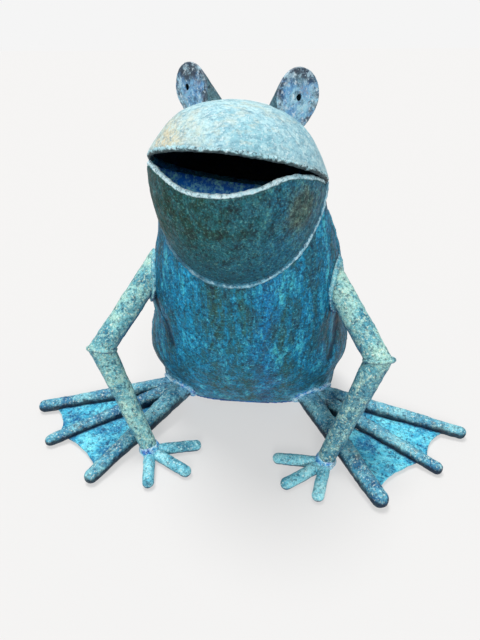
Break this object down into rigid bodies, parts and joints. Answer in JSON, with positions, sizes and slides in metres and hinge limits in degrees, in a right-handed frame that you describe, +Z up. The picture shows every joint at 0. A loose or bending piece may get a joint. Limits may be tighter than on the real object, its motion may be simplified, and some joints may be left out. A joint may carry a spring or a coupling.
{
  "type": "seated frog sculpture",
  "caption": "Hollow seated frog welded from patinated sheet and tube, with an open mouth, disc eyes, long arms and splayed webbed feet; stands on a flat base.",
  "frame": {"origin": "middle of the base plate's underside, on the ground", "axes": "+Z up; the frog faces -Y; its own left side is +X, across the spread feet"},
  "size_m": [0.4132, 0.2262, 0.3093],
  "materials": {
    "body_sheet": "matt mottled blue-green patina",
    "base_sheet": "matt mottled blue-green patina",
    "jaw_sheet": "matt mottled blue-green patina",
    "head_sheet": "matt mottled blue-green patina",
    "lip_rod": "matt mottled blue-green patina",
    "eye_sheet": "matt mottled blue-green patina",
    "arm_tube": "matt mottled blue-green patina",
    "finger_rod": "matt mottled blue-green patina",
    "toe_tube": "matt mottled blue-green patina",
    "web_sheet": "matt mottled blue-green patina",
    "weld_bead": "matt mottled blue-green patina"
  },
  "bodies": {
    "root": {"back_panel": "body_sheet", "base_plate": "base_sheet", "belly_panel": "body_sheet", "elbow_weld_left": "weld_bead", "elbow_weld_right": "weld_bead", "eye_disc_left": "eye_sheet", "eye_disc_right": "eye_sheet", "eye_sleeve_left": "eye_sheet", "eye_sleeve_right": "eye_sheet", "eye_weld_left": "eye_sheet", "eye_weld_right": "eye_sheet", "finger_inner_left": "finger_rod", "finger_inner_right": "finger_rod", "finger_middle_left": "finger_rod", "finger_middle_right": "finger_rod", "finger_outer_left": "finger_rod", "finger_outer_right": "finger_rod", "forearm_left": "arm_tube", "forearm_right": "arm_tube", "head_cap": "head_sheet", "hip_weld_left": "weld_bead", "hip_weld_right": "weld_bead", "jaw_bowl": "jaw_sheet", "lower_lip_rod": "lip_rod", "nape_weld": "weld_bead", "shoulder_weld_left": "weld_bead", "shoulder_weld_right": "weld_bead", "side_weld_left": "body_sheet", "side_weld_right": "body_sheet", "throat_weld": "weld_bead", "toe_front_left": "toe_tube", "toe_front_right": "toe_tube", "toe_middle_left": "toe_tube", "toe_middle_right": "toe_tube", "toe_rear_left": "toe_tube", "toe_rear_right": "toe_tube", "upper_arm_left": "arm_tube", "upper_arm_right": "arm_tube", "upper_lip_rod": "lip_rod", "web_front_left": "web_sheet", "web_front_right": "web_sheet", "web_rear_left": "web_sheet", "web_rear_right": "web_sheet", "wrist_weld_left": "weld_bead", "wrist_weld_right": "weld_bead"}
  },
  "joints": []
}
